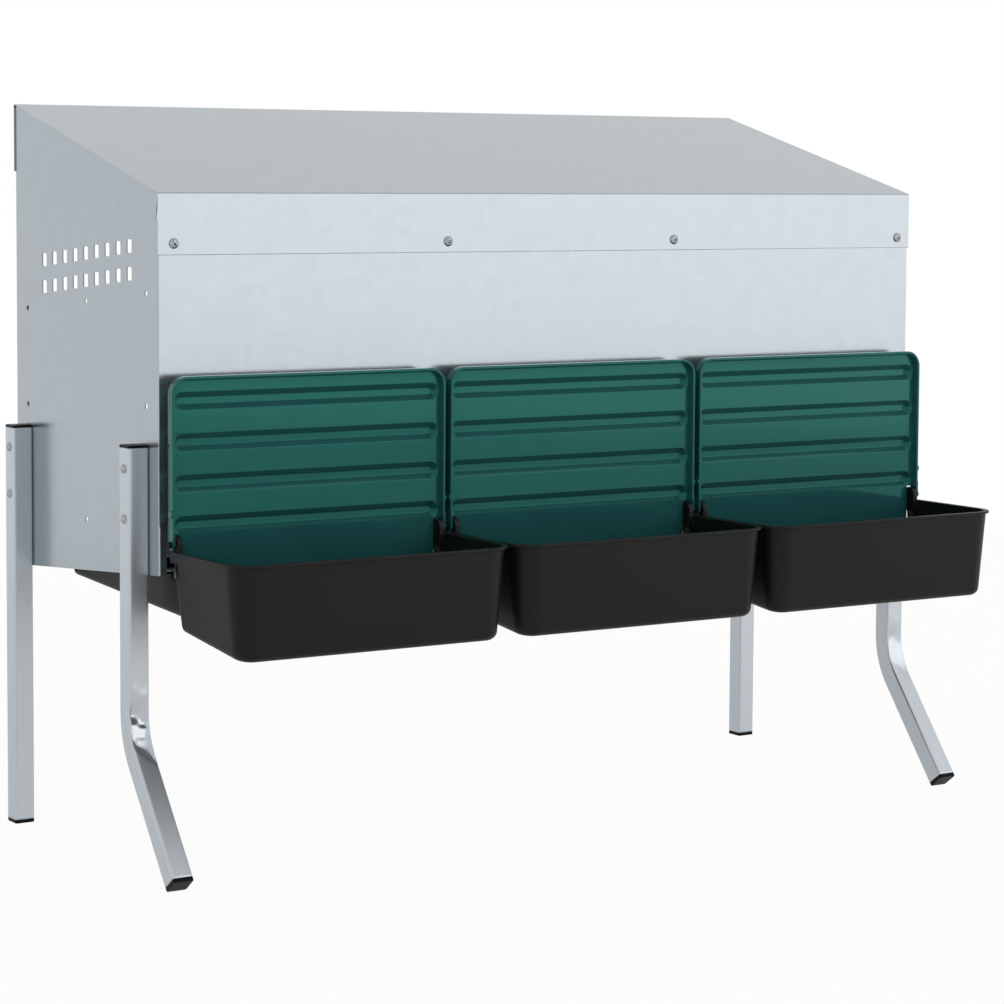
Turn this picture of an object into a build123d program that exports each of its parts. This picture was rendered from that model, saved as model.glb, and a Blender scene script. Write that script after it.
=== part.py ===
"""Three-place roll-out nest box on tube legs, in millimetres, +Z up.

The egg troughs face -Y, the open hen side faces +Y, and the feet stand on Z = 0.
Depths are given as the distance d behind the outer face of the front panel.
"""

import os
from math import cos, radians, sin, tan

from build123d import *

os.makedirs("parts", exist_ok=True)

# Driving sizes of the sheet-metal box
PITCH = 230.4
BOX_D = 246.0
SHEET = 0.7
SIDE_IN = 1.6
FOLD_MORE_R = 0.4
BASE_FRONT_Z = 217.0
BASE_FALL_DEG = 4.4
ROOF_FRONT_Z = 488.0
ROOF_REAR_Z = 555.0
ROOF_OVER = 1.0
ROOF_FOLD_R = 1.6
HEM_R = 0.4
FLAP_H = 44.0
APRON_H = 52.0
FLANGE_W = 20.0
FLANGE_TOE_W = 6.0
FLANGE_SHOULDER = 6.0
LEDGE_W = 10.0
LEDGE_START_D = 14.0
FRONT_GAP = 1.5
FRONT_FOLD_D = 9.0
FRONT_FOLD_IN = 25.2
OUTLET_UP = 15.5
NOTCH_DROP = 19.3
NOTCH_DEEP = 4.0
CORNER_FRONT = 1.0
CORNER_REAR = 3.0
PARTITION_TOE_D = 4.0
SILL_H = 24.0
SILL_FOLD_H = 7.0
SILL_SIDE_GAP = 0.5
SILL_PAN_GAP = 1.5
SILL_CLEAR = 0.4

# Vent slots, spare leg holes and tabs in the sheets
VENT_W = 7.7
VENT_H = 9.7
VENT_ROUND = 1.2
VENT_COUNT = 9
VENT_FIRST_D = 192.8
VENT_PITCH = 18.2
VENT_ROWS = ((436.2, 0.0914), (415.8, 0.0955))
HOLE_FRONT_D = 20.5
HOLE_MIDDLE_D = 120.0
HOLE_REAR_IN = 22.0
HOLE_FRONT_ZS = (416.4, 336.2)
HOLE_MIDDLE_ZS = (407.5, 246.0)
HOLE_REAR_ZS = (398.6, 324.7)
TAB_COUNT = 6
TAB_START_D = 5.0
TAB_PITCH = 27.0
TAB_LONG = 24.0
TAB_WIDE = 9.5

# Driving sizes of the legs and their end plugs
TUBE = 16.0
TUBE_WALL = 1.2
TUBE_ROUND = 1.8
LEG_UP = 90.0
LEG_FRONT_D = 24.6
LEG_REAR_IN = 21.5
KINK_Z = 97.7
KINK_DEG = 37.5
KINK_R = 61.0
BOLT_DROPS = (15.0, 50.8)
CAP_T = 2.0
FOOT_T = 3.0
CAP_EDGE_R = 0.8
PLUG_DEEP = 11.0
PLUG_WALL = 1.6
PLUG_ROUND = 0.5

# Driving sizes of the plastic pans
TRAY_REACH = 117.0
TRAY_GAP = 0.7
TRAY_WALL = 2.0
TRAY_DRAFT_DEG = 5.0
TRAY_CORNER = 20.0
TRAY_CORNER_LOW = 13.0
TRAY_CORNER_BACK = 8.0
TRAY_HEEL = 6.0
RIM_UP = 19.5
RIM_LIP = 2.2
RIM_T = 2.0
RIM_END = 8.0
TROUGH_BACK_D = -12.0
TROUGH_DEEP_FRONT = 69.9
TROUGH_DEEP_BACK = 56.5
TUB_IN = 13.2
TUB_REAR_IN = 78.0
TUB_DEEP = 30.0
TUB_FALL_DEG = 3.35
TUB_ROUND = 5.0
LIP_IN = 5.7
LIP_REAR = 7.0
LIP_START_D = 4.0
LIP_T = 2.0
OUTLET_DROP = 5.0
EAR_ROOT_DROP = 9.0
EAR_WEB = 1.2
EAR_BLIND = 1.0
STOP_UP = 13.0
STOP_T = 3.0

# Driving sizes of the lids and their pins
PIVOT_FORE = 3.9
PIVOT_UP = 4.3
PIN_R = 2.4
PIN_END = 2.0
LID_IN = 1.5
LID_H = 111.6
LID_UP = 6.9
LID_CORNER = 12.5
LID_RIM = 3.2
LID_RIM_DRAFT_DEG = 12.0
LID_RIM_R = 0.9
LID_PLATE = 2.0
LID_DEEP = 5.4
GROOVE_COUNT = 4
GROOVE_H = 12.5
GROOVE_IN = 3.8
GROOVE_DEEP = 4.0
GROOVE_TAPER_DEG = 44.0
GROOVE_EDGE_R = 1.1
GROOVE_FLOOR_R = 0.9
GROOVE_PITCH = 29.3
GROOVE_DROP = 17.5
RIDGE_WALL = 1.8
TONGUE_IN = 7.4
TONGUE_DROP = 21.0
TONGUE_CORNER = 2.5
TONGUE_JOIN = 1.0
ARM_T = 2.0
ARM_JOIN = 4.0
NUB_R = 2.6
NUB_T = 0.9
NUB_UP = 21.7
NUB_FORE = 0.8

# Named clearances
FIT = 0.05
RUN = 0.08
SEAT = 0.1
SWING = 0.6
STOP_GAP = 0.3

# Fasteners
SCREW_R = 1.75
SCREW_LONG = 9.0
SCREW_HEAD_R = 3.8
SCREW_HEAD_H = 2.2
SCREW_DOME_R = 1.3
RECESS_LONG = 3.2
RECESS_WIDE = 0.8
RECESS_DEEP = 1.1
RIVET_R = 1.6
RIVET_HEAD_R = 3.2
RIVET_HEAD_H = 0.9
RIVET_TAIL_R = 2.5
RIVET_TAIL_H = 1.4
BOLT_R = 2.0
BOLT_HOLE_R = 2.1
BOLT_HEAD_R = 3.4
BOLT_HEAD_H = 2.2
BOLT_DOME_R = 1.6
BOLT_END = 1.2
NUT_AF = 7.0
NUT_T = 3.2
END_SCREW_IN = 11.4
MIDDLE_SCREW_IN = 10.8
FLAP_SCREW_UP = 8.2
APRON_SCREW_UP = 9.0
FRONT_RIVET_UP = 48.0
SILL_RIVET_UP = 13.0

# Cutting blocks reach this far past what they cut
PAST = 20.0

# Places that follow from the sizes above
HALF_W = 1.5 * PITCH - SIDE_IN
FRONT_Y = (TRAY_REACH - BOX_D - SCREW_HEAD_H) / 2
REAR_D = BOX_D - SHEET
FOLD_R = SHEET + FOLD_MORE_R
BASE_SLOPE = tan(radians(BASE_FALL_DEG))
ROOF_SLOPE = (ROOF_REAR_Z - ROOF_FRONT_Z) / (BOX_D + SHEET)
ROOF_T_Z = SHEET * (1 + ROOF_SLOPE**2) ** 0.5
SIDES = (("left", -1), ("right", 1))
COMPARTMENTS = (("left", -PITCH), ("middle", 0.0), ("right", PITCH))
RIM_Z = BASE_FRONT_Z + RIM_UP
OUTLET_Z = RIM_Z + OUTLET_UP
NOTCH_Z = ROOF_FRONT_Z - NOTCH_DROP
LEG_TOP_Z = BASE_FRONT_Z + LEG_UP
LEG_REAR_D = BOX_D - LEG_REAR_IN
LEG_X = HALF_W + TUBE / 2
BOLT_ZS = [LEG_TOP_Z - drop for drop in BOLT_DROPS]
SCREW_IN_X = PITCH / 2 - MIDDLE_SCREW_IN
SCREW_OUT_X = HALF_W - END_SCREW_IN
SCREW_XS = (-SCREW_OUT_X, -SCREW_IN_X, SCREW_IN_X, SCREW_OUT_X)
FLAP_SCREW_Z = ROOF_FRONT_Z - FLAP_H + FLAP_SCREW_UP
APRON_SCREW_Z = ROOF_REAR_Z - APRON_H + APRON_SCREW_UP
FRONT_RIVET_Z = OUTLET_Z + FRONT_RIVET_UP
SILL_Z = BASE_FRONT_Z - BASE_SLOPE * REAR_D
SILL_TOP_Z = SILL_Z + SILL_H
SILL_RIVET_Z = SILL_Z + SILL_RIVET_UP
TRAY_HALF = PITCH / 2 - TRAY_GAP
TUB_HALF = PITCH / 2 - TUB_IN
TUB_REAR_D = BOX_D - TUB_REAR_IN
LIP_HALF = PITCH / 2 - LIP_IN
LIP_REAR_D = TUB_REAR_D + LIP_REAR
LIP_TOP = SHEET + LIP_T
TROUGH_FRONT_Z = RIM_Z - TROUGH_DEEP_FRONT
TROUGH_BACK_Z = RIM_Z - TROUGH_DEEP_BACK
PIVOT_D = TROUGH_BACK_D - PIVOT_FORE
PIVOT_Z = RIM_Z + PIVOT_UP
LID_HALF = TRAY_HALF - LID_IN
LID_LOW_Z = PIVOT_Z + LID_UP
LID_TOP_Z = LID_LOW_Z + LID_H
LID_THICK = LID_DEEP + LID_PLATE
LID_BACK_D = PIVOT_D + LID_THICK / 2
LID_FACE_D = LID_BACK_D - LID_PLATE
LID_FRONT_D = LID_BACK_D - LID_THICK
GROOVE_HALF = LID_HALF - GROOVE_IN
GROOVE_ZS = [LID_TOP_Z - GROOVE_DROP - GROOVE_PITCH * i for i in range(GROOVE_COUNT)]
TONGUE_HALF = LID_HALF - TONGUE_IN
TONGUE_LOW_Z = PIVOT_Z - TONGUE_DROP
EAR_R = LID_UP - SWING
EAR_IN = TONGUE_HALF + SWING
EAR_OUT = LID_HALF - ARM_T - SWING
PIN_IN = EAR_IN + EAR_BLIND
STOP_D = LID_BACK_D + GROOVE_DEEP + STOP_GAP


def yd(d):
    """Y of a point that lies d behind the front panel."""
    return FRONT_Y + d


def base_z(d):
    """Height of the bottom edge of the side panels and partitions."""
    return BASE_FRONT_Z - BASE_SLOPE * d


def roof_z(d):
    """Height of the top face of the roof sheet."""
    return ROOF_FRONT_Z + ROOF_SLOPE * (d + SHEET)


def under_z(d):
    """Height just below the roof sheet, with the seating clearance."""
    return roof_z(d) - ROOF_T_Z - SEAT


def facing(d):
    """Upright plane at depth d, seen from the front; extruding goes forward."""
    return Plane.XZ.offset(-yd(d))


def at_x(x):
    """Upright plane across the width at x; extruding goes to +X."""
    return Plane.YZ.offset(x)


def slab(x, width, points, mode=Mode.ADD):
    """Straight outline in (d, z), starting at x and width wide."""
    with BuildSketch(at_x(x)) as face:
        with BuildLine():
            Polyline(*[(yd(d), z) for d, z in points], close=True)
        make_face()
    extrude(face.sketch, amount=width, mode=mode)


def strip(x, width, start, end, low, high):
    """Sheet strip that follows the sloped bottom edge, from low to high above it."""
    slab(
        x,
        width,
        [
            (start, base_z(start) + low),
            (end, base_z(end) + low),
            (end, base_z(end) + high),
            (start, base_z(start) + high),
        ],
    )


def plate(d, points):
    """Upright sheet whose rear face lies at depth d, with its outline in (x, z)."""
    with BuildSketch(facing(d)) as face:
        with BuildLine():
            Polyline(*points, close=True)
        make_face()
    extrude(face.sketch, amount=SHEET)


def drill(plane, depth, spots):
    """Round holes, each spot being its place on the plane and its radius."""
    with BuildSketch(plane) as holes:
        for u, v, r in spots:
            with Locations((u, v)):
                Circle(r)
    extrude(holes.sketch, amount=depth, mode=Mode.SUBTRACT)


def keep(body, name):
    """Label a finished piece and write its file."""
    body.part.label = name
    export_step(body.part, "parts/" + name + ".step")


# Side panels: one folded sheet each, with vent slots and spare leg holes
SPARE_HOLES = [
    (yd(d), z, BOLT_HOLE_R)
    for d, zs in (
        (HOLE_FRONT_D, HOLE_FRONT_ZS),
        (HOLE_MIDDLE_D, HOLE_MIDDLE_ZS),
        (BOX_D - HOLE_REAR_IN, HOLE_REAR_ZS),
    )
    for z in zs
]
LEG_HOLES = [(yd(d), z, BOLT_HOLE_R) for d in (LEG_FRONT_D, LEG_REAR_D) for z in BOLT_ZS]
for side_name, side in SIDES:
    sheet_x = HALF_W - SHEET if side > 0 else -HALF_W
    root_x = side * (HALF_W - SHEET / 2)
    toe_x = side * (HALF_W - FLANGE_TOE_W)
    flange_x = side * (HALF_W - FLANGE_W)
    rear_top_z = under_z(REAR_D) - CORNER_REAR
    with BuildPart() as side_panel:
        # the upright sheet, its bottom edge falling to the rear and its top front corner relieved
        slab(
            sheet_x,
            SHEET,
            [
                (SHEET, base_z(SHEET)),
                (REAR_D, base_z(REAR_D)),
                (REAR_D, rear_top_z),
                (REAR_D - CORNER_REAR, under_z(REAR_D - CORNER_REAR)),
                (SHEET + CORNER_FRONT, under_z(SHEET + CORNER_FRONT)),
                (SHEET + NOTCH_DEEP, NOTCH_Z),
                (SHEET, NOTCH_Z),
            ],
        )
        # front flange, narrow at the egg outlet and wide above it
        plate(
            2 * SHEET,
            [
                (root_x, base_z(SHEET)),
                (toe_x, base_z(SHEET)),
                (toe_x, OUTLET_Z),
                (flange_x, OUTLET_Z + FLANGE_SHOULDER),
                (flange_x, NOTCH_Z),
                (root_x, NOTCH_Z),
            ],
        )
        # rear flange
        plate(
            REAR_D,
            [
                (root_x, base_z(REAR_D)),
                (flange_x, base_z(REAR_D)),
                (flange_x, rear_top_z),
                (root_x, rear_top_z),
            ],
        )
        # both upright folds are rounded on the outside
        for corner_d, inward in ((SHEET, FOLD_R), (REAR_D, -FOLD_R)):
            with BuildSketch(Plane.XY):
                with Locations((side * (HALF_W - FOLD_R / 2), yd(corner_d + inward / 2))):
                    Rectangle(FOLD_R, FOLD_R)
                with Locations((side * (HALF_W - FOLD_R), yd(corner_d + inward))):
                    Circle(FOLD_R, mode=Mode.SUBTRACT)
            extrude(amount=ROOF_REAR_Z, mode=Mode.SUBTRACT)
        # bottom flange that carries the pan and the sill
        ledge_x = HALF_W - LEDGE_W if side > 0 else -HALF_W + SHEET / 2
        strip(ledge_x, LEDGE_W - SHEET / 2, LEDGE_START_D, REAR_D - SHEET, 0, SHEET)
        # two rows of vent slots
        with BuildSketch(at_x(sheet_x)):
            for low_z, rise in VENT_ROWS:
                for i in range(VENT_COUNT):
                    with Locations((yd(VENT_FIRST_D - VENT_PITCH * i), low_z + rise * VENT_PITCH * i)):
                        RectangleRounded(VENT_W, VENT_H, VENT_ROUND)
        extrude(amount=SHEET, mode=Mode.SUBTRACT)
        drill(at_x(sheet_x), SHEET, SPARE_HOLES + LEG_HOLES)
        # screw and rivet holes in the two flanges
        screw_x = side * SCREW_OUT_X
        drill(
            facing(2 * SHEET),
            SHEET,
            [(screw_x, FLAP_SCREW_Z, SCREW_R + SEAT), (screw_x, FRONT_RIVET_Z, RIVET_R + SEAT)],
        )
        drill(
            facing(REAR_D),
            SHEET,
            [(screw_x, APRON_SCREW_Z, SCREW_R + SEAT), (screw_x, SILL_RIVET_Z, RIVET_R + SEAT)],
        )
    keep(side_panel, "side_panel_" + side_name)

# Partitions: flanged toward the centre, with tabs bent both ways under the pans
STEP_D = REAR_D - 3 * SHEET - SILL_CLEAR
STEP_UP = 2 * SHEET + SILL_CLEAR
for side_name, side in SIDES:
    mid_x = side * PITCH / 2
    outer_x = mid_x + side * SHEET / 2
    flange_x = mid_x - side * FLANGE_W
    front_top_z = under_z(SHEET) - CORNER_FRONT
    rear_top_z = under_z(REAR_D) - CORNER_REAR
    with BuildPart() as partition:
        # the upright sheet, stepped up at the rear to clear the sill
        slab(
            mid_x - SHEET / 2,
            SHEET,
            [
                (SHEET, OUTLET_Z),
                (PARTITION_TOE_D, base_z(PARTITION_TOE_D)),
                (LIP_REAR_D, base_z(LIP_REAR_D)),
                (LIP_REAR_D, base_z(LIP_REAR_D) + STEP_UP),
                (STEP_D, base_z(STEP_D) + STEP_UP),
                (STEP_D, SILL_TOP_Z + SILL_CLEAR),
                (REAR_D, SILL_TOP_Z + SILL_CLEAR),
                (REAR_D, rear_top_z),
                (REAR_D - CORNER_REAR, under_z(REAR_D - CORNER_REAR)),
                (SHEET + CORNER_FRONT, under_z(SHEET + CORNER_FRONT)),
                (SHEET, front_top_z),
            ],
        )
        # front flange behind the front panel
        plate(
            2 * SHEET,
            [
                (mid_x, OUTLET_Z),
                (flange_x, OUTLET_Z + FLANGE_SHOULDER),
                (flange_x, front_top_z),
                (mid_x, front_top_z),
            ],
        )
        # rear flange behind the sill and the roof apron
        plate(
            REAR_D,
            [
                (outer_x, base_z(REAR_D)),
                (flange_x, base_z(REAR_D)),
                (flange_x, rear_top_z),
                (outer_x, rear_top_z),
            ],
        )
        # tabs, bent in turn toward the centre and outward
        for i in range(TAB_COUNT):
            start = TAB_START_D + TAB_PITCH * i
            toward = side if i % 2 else -side
            tab_x = mid_x if toward > 0 else mid_x - TAB_WIDE
            strip(tab_x, TAB_WIDE, start, start + TAB_LONG, 0, SHEET)
        # screw and rivet holes in the two flanges
        screw_x = side * SCREW_IN_X
        drill(
            facing(2 * SHEET),
            SHEET,
            [(screw_x, FLAP_SCREW_Z, SCREW_R + SEAT), (screw_x, FRONT_RIVET_Z, RIVET_R + SEAT)],
        )
        drill(
            facing(REAR_D),
            SHEET,
            [(screw_x, APRON_SCREW_Z, SCREW_R + SEAT), (screw_x, SILL_RIVET_Z, RIVET_R + SEAT)],
        )
    keep(partition, "partition_" + side_name)

# Front panel: flat sheet with a return fold above each egg outlet, between the flanges
FLAP_HOLES = [(x, FLAP_SCREW_Z, SCREW_R + SEAT) for x in SCREW_XS]
FRONT_HOLES = [(x, FRONT_RIVET_Z, RIVET_R + SEAT) for x in SCREW_XS]
FOLD_HALF = PITCH / 2 - FRONT_FOLD_IN
with BuildPart() as front_panel:
    front_top_z = under_z(0) - FRONT_GAP
    plate(
        SHEET,
        [(-HALF_W, OUTLET_Z), (HALF_W, OUTLET_Z), (HALF_W, front_top_z), (-HALF_W, front_top_z)],
    )
    for place, mid_x in COMPARTMENTS:
        slab(
            mid_x - FOLD_HALF,
            2 * FOLD_HALF,
            [
                (SHEET / 2, OUTLET_Z),
                (FRONT_FOLD_D, OUTLET_Z),
                (FRONT_FOLD_D, OUTLET_Z + SHEET),
                (SHEET / 2, OUTLET_Z + SHEET),
            ],
        )
    drill(facing(SHEET), SHEET, FLAP_HOLES + FRONT_HOLES)
keep(front_panel, "front_panel")

# Roof: one sheet folded down at the front and at the rear
with BuildPart() as roof:
    slab(
        -HALF_W - ROOF_OVER,
        2 * (HALF_W + ROOF_OVER),
        [
            (-SHEET, ROOF_FRONT_Z - FLAP_H),
            (-SHEET, roof_z(-SHEET)),
            (BOX_D, roof_z(BOX_D)),
            (BOX_D, ROOF_REAR_Z - APRON_H),
            (REAR_D, ROOF_REAR_Z - APRON_H),
            (REAR_D, roof_z(REAR_D) - ROOF_T_Z),
            (0, roof_z(0) - ROOF_T_Z),
            (0, ROOF_FRONT_Z - FLAP_H),
        ],
    )
    folds = [
        edge
        for edge in roof.edges().filter_by(Axis.X)
        if min(abs(edge.center().Z - z) for z in (ROOF_FRONT_Z, ROOF_REAR_Z)) < SEAT
    ]
    fillet(folds, radius=ROOF_FOLD_R)
    # the outer lower edges of the flap and the apron are rounded over
    hems = [
        edge
        for edge in roof.edges().filter_by(Axis.X)
        for d, z in ((-SHEET, ROOF_FRONT_Z - FLAP_H), (BOX_D, ROOF_REAR_Z - APRON_H))
        if abs(edge.center().Y - yd(d)) < SEAT and abs(edge.center().Z - z) < SEAT
    ]
    fillet(hems, radius=HEM_R)
    drill(facing(0), SHEET, FLAP_HOLES)
    drill(facing(BOX_D), SHEET, [(x, APRON_SCREW_Z, SCREW_R + SEAT) for x in SCREW_XS])
keep(roof, "roof")

# Entrance sill on the hen side: a shelf behind the pans and an upright lip with a doubled edge
SILL_FRONT_D = LIP_REAR_D + SILL_PAN_GAP
SILL_LIP_D = REAR_D - SHEET
SILL_HALF = HALF_W - SHEET - SILL_SIDE_GAP
with BuildPart() as entrance_sill:
    slab(
        -SILL_HALF,
        2 * SILL_HALF,
        [
            (SILL_FRONT_D, base_z(SILL_FRONT_D) + SHEET),
            (SILL_LIP_D, base_z(SILL_LIP_D) + SHEET),
            (SILL_LIP_D, SILL_TOP_Z),
            (SILL_LIP_D - 2 * SHEET, SILL_TOP_Z),
            (SILL_LIP_D - 2 * SHEET, SILL_TOP_Z - SILL_FOLD_H),
            (SILL_LIP_D - SHEET, SILL_TOP_Z - SILL_FOLD_H),
            (SILL_LIP_D - SHEET, base_z(SILL_LIP_D - SHEET) + 2 * SHEET),
            (SILL_FRONT_D, base_z(SILL_FRONT_D) + 2 * SHEET),
        ],
    )
    fillet(entrance_sill.edges().filter_by(Axis.X).group_by(Axis.Z)[-1], radius=SHEET - SEAT)
    drill(facing(SILL_LIP_D), SHEET, [(x, SILL_RIVET_Z, RIVET_R + SEAT) for x in SCREW_XS])
keep(entrance_sill, "entrance_sill")

# Pans: each one moulding with an egg trough, a sloped nest floor and two pivot ears
TRAY_SLOPE = tan(radians(TRAY_DRAFT_DEG))
TROUGH_TILT = (TROUGH_BACK_Z - TROUGH_FRONT_Z) / (TROUGH_BACK_D + TRAY_REACH)


def tub_z(d):
    """Height of the underside of the nest floor."""
    return BASE_FRONT_Z - TUB_DEEP + tan(radians(TUB_FALL_DEG)) * (d - TROUGH_BACK_D)


def trough_face(level, inset):
    """Rounded plan of the trough at one level, shrunk by the draft and inset by the wall."""
    shrink = (RIM_Z - level) * TRAY_SLOPE
    half = TRAY_HALF - RIM_LIP - shrink - inset
    front = -TRAY_REACH + RIM_LIP + shrink + inset
    back = TROUGH_BACK_D - shrink - inset
    tighter = (TRAY_CORNER - TRAY_CORNER_LOW) * (RIM_Z - level) / TROUGH_DEEP_FRONT
    with BuildSketch(Plane.XY.offset(level)) as plan:
        with Locations((0, (yd(front) + yd(back)) / 2)):
            Rectangle(2 * half, back - front)
        fillet(plan.vertices().group_by(Axis.Y)[0], radius=TRAY_CORNER - tighter - inset)
        fillet(plan.vertices().sort_by(Axis.Y)[-2:], radius=TRAY_CORNER_BACK - inset)
    return plan.sketch


def trough_block(inset):
    """Drafted trough volume, cut below by its sloped floor; the inset one is the space inside."""
    low = TROUGH_FRONT_Z - 2 * TRAY_HEEL
    top = RIM_Z + TRAY_HEEL if inset else RIM_Z
    lift = inset * (1 + TROUGH_TILT**2) ** 0.5
    start = -TRAY_REACH - PAST
    end = TROUGH_BACK_D + PAST
    with BuildPart() as block:
        add(trough_face(low, inset))
        add(trough_face(top, inset))
        loft()
        slab(
            -TRAY_HALF,
            2 * TRAY_HALF,
            [
                (start, TROUGH_FRONT_Z - PAST * TROUGH_TILT + lift),
                (end, TROUGH_BACK_Z + PAST * TROUGH_TILT + lift),
                (end, low - PAST),
                (start, low - PAST),
            ],
            Mode.SUBTRACT,
        )
        fillet(block.faces().sort_by(Axis.Z)[0].edges(), radius=TRAY_HEEL - inset)
    return block.part


def tub_block(front, inset, top):
    """Nest-floor volume from front to its rear wall; the inset one is the space inside."""
    half = TUB_HALF - inset
    rear = TUB_REAR_D - inset
    with BuildPart() as block:
        slab(
            -half,
            2 * half,
            [
                (front, tub_z(front) + inset),
                (rear, tub_z(rear) + inset),
                (rear, base_z(rear) + top),
                (front, base_z(front) + top),
            ],
        )
        bottom = block.faces().sort_by(Axis.Z)[0]
        fillet(bottom.edges().filter_by(Axis.X, reverse=True), radius=TUB_ROUND - inset)
    return block.part


TUB_FRONT_D = TROUGH_BACK_D - TRAY_HEEL
RIM_PLAN = Pos(0, 0, -RIM_Z) * offset(trough_face(RIM_Z, 0), amount=RIM_LIP, kind=Kind.ARC)
with BuildPart() as pan:
    add(trough_block(0))
    add(tub_block(TUB_FRONT_D, 0, LIP_TOP))
    # rim that turns outward around the trough
    with BuildSketch(Plane.XY.offset(RIM_Z - RIM_T)):
        add(RIM_PLAN)
        with Locations((0, yd(TROUGH_BACK_D - RIM_END) + PAST)):
            Rectangle(2 * PITCH, 2 * PAST, mode=Mode.SUBTRACT)
    extrude(amount=RIM_T)
    # ledge that lies on the folded bottom edges of the box
    strip(-LIP_HALF, 2 * LIP_HALF, LIP_START_D, LIP_REAR_D, SHEET, LIP_TOP)
    # hollow it out, and open the trough toward the nest
    add(trough_block(TRAY_WALL), mode=Mode.SUBTRACT)
    add(tub_block(TUB_FRONT_D - TRAY_HEEL, TRAY_WALL, TUB_DEEP), mode=Mode.SUBTRACT)
    open_d = TROUGH_BACK_D - 2 * TRAY_WALL
    open_up = LIP_TOP - OUTLET_DROP
    slab(
        -EAR_IN,
        2 * EAR_IN,
        [
            (open_d, base_z(open_d) + open_up),
            (LIP_START_D, base_z(LIP_START_D) + open_up),
            (LIP_START_D, RIM_Z + PAST),
            (open_d, RIM_Z + PAST),
        ],
        Mode.SUBTRACT,
    )
    # ears for the lid pins, blind on the inside, each with a stop finger behind the lid
    root_z = RIM_Z - EAR_ROOT_DROP
    for side_name, side in SIDES:
        slab(
            EAR_IN if side > 0 else -EAR_OUT,
            EAR_OUT - EAR_IN,
            [
                (PIVOT_D - EAR_R, root_z),
                (PIVOT_D - EAR_R, PIVOT_Z),
                (STOP_D, PIVOT_Z),
                (STOP_D, PIVOT_Z + STOP_UP),
                (STOP_D + STOP_T, PIVOT_Z + STOP_UP),
                (STOP_D + STOP_T, RIM_Z - STOP_T),
                (TROUGH_BACK_D, root_z),
            ],
        )
        with BuildSketch(at_x(EAR_IN if side > 0 else -EAR_OUT)):
            with Locations((yd(PIVOT_D), PIVOT_Z)):
                Circle(EAR_R)
        extrude(amount=EAR_OUT - EAR_IN)
        # root of the ear, joined to the trough wall below the rim
        slab(
            EAR_IN if side > 0 else -EAR_OUT - EAR_WEB,
            EAR_OUT - EAR_IN + EAR_WEB,
            [
                (PIVOT_D - EAR_R, root_z),
                (PIVOT_D - EAR_R, RIM_Z - RIM_T),
                (TROUGH_BACK_D, RIM_Z - RIM_T),
                (TROUGH_BACK_D, root_z),
            ],
        )
        drill(at_x(side * PIN_IN), side * PITCH, [(yd(PIVOT_D), PIVOT_Z, PIN_R + FIT)])
for place, mid_x in COMPARTMENTS:
    with BuildPart() as nest_pan:
        with Locations((mid_x, 0, 0)):
            add(pan.part)
    keep(nest_pan, "nest_pan_" + place)

# Lids: a shallow tray of plate and rim, pressed grooves, a tongue and two pivot arms
TRIM_Z = LID_LOW_Z - GROOVE_H


def groove_bars(d, wider):
    """Plan of the row of grooves at depth d, made wider by a margin; extruding goes to the rear."""
    with BuildSketch(Plane((0, yd(d), 0), x_dir=(-1, 0, 0), z_dir=(0, 1, 0))) as bars:
        for z in GROOVE_ZS:
            with Locations((0, z)):
                SlotOverall(2 * (GROOVE_HALF + wider), GROOVE_H + 2 * wider)
    return bars.sketch


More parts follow.
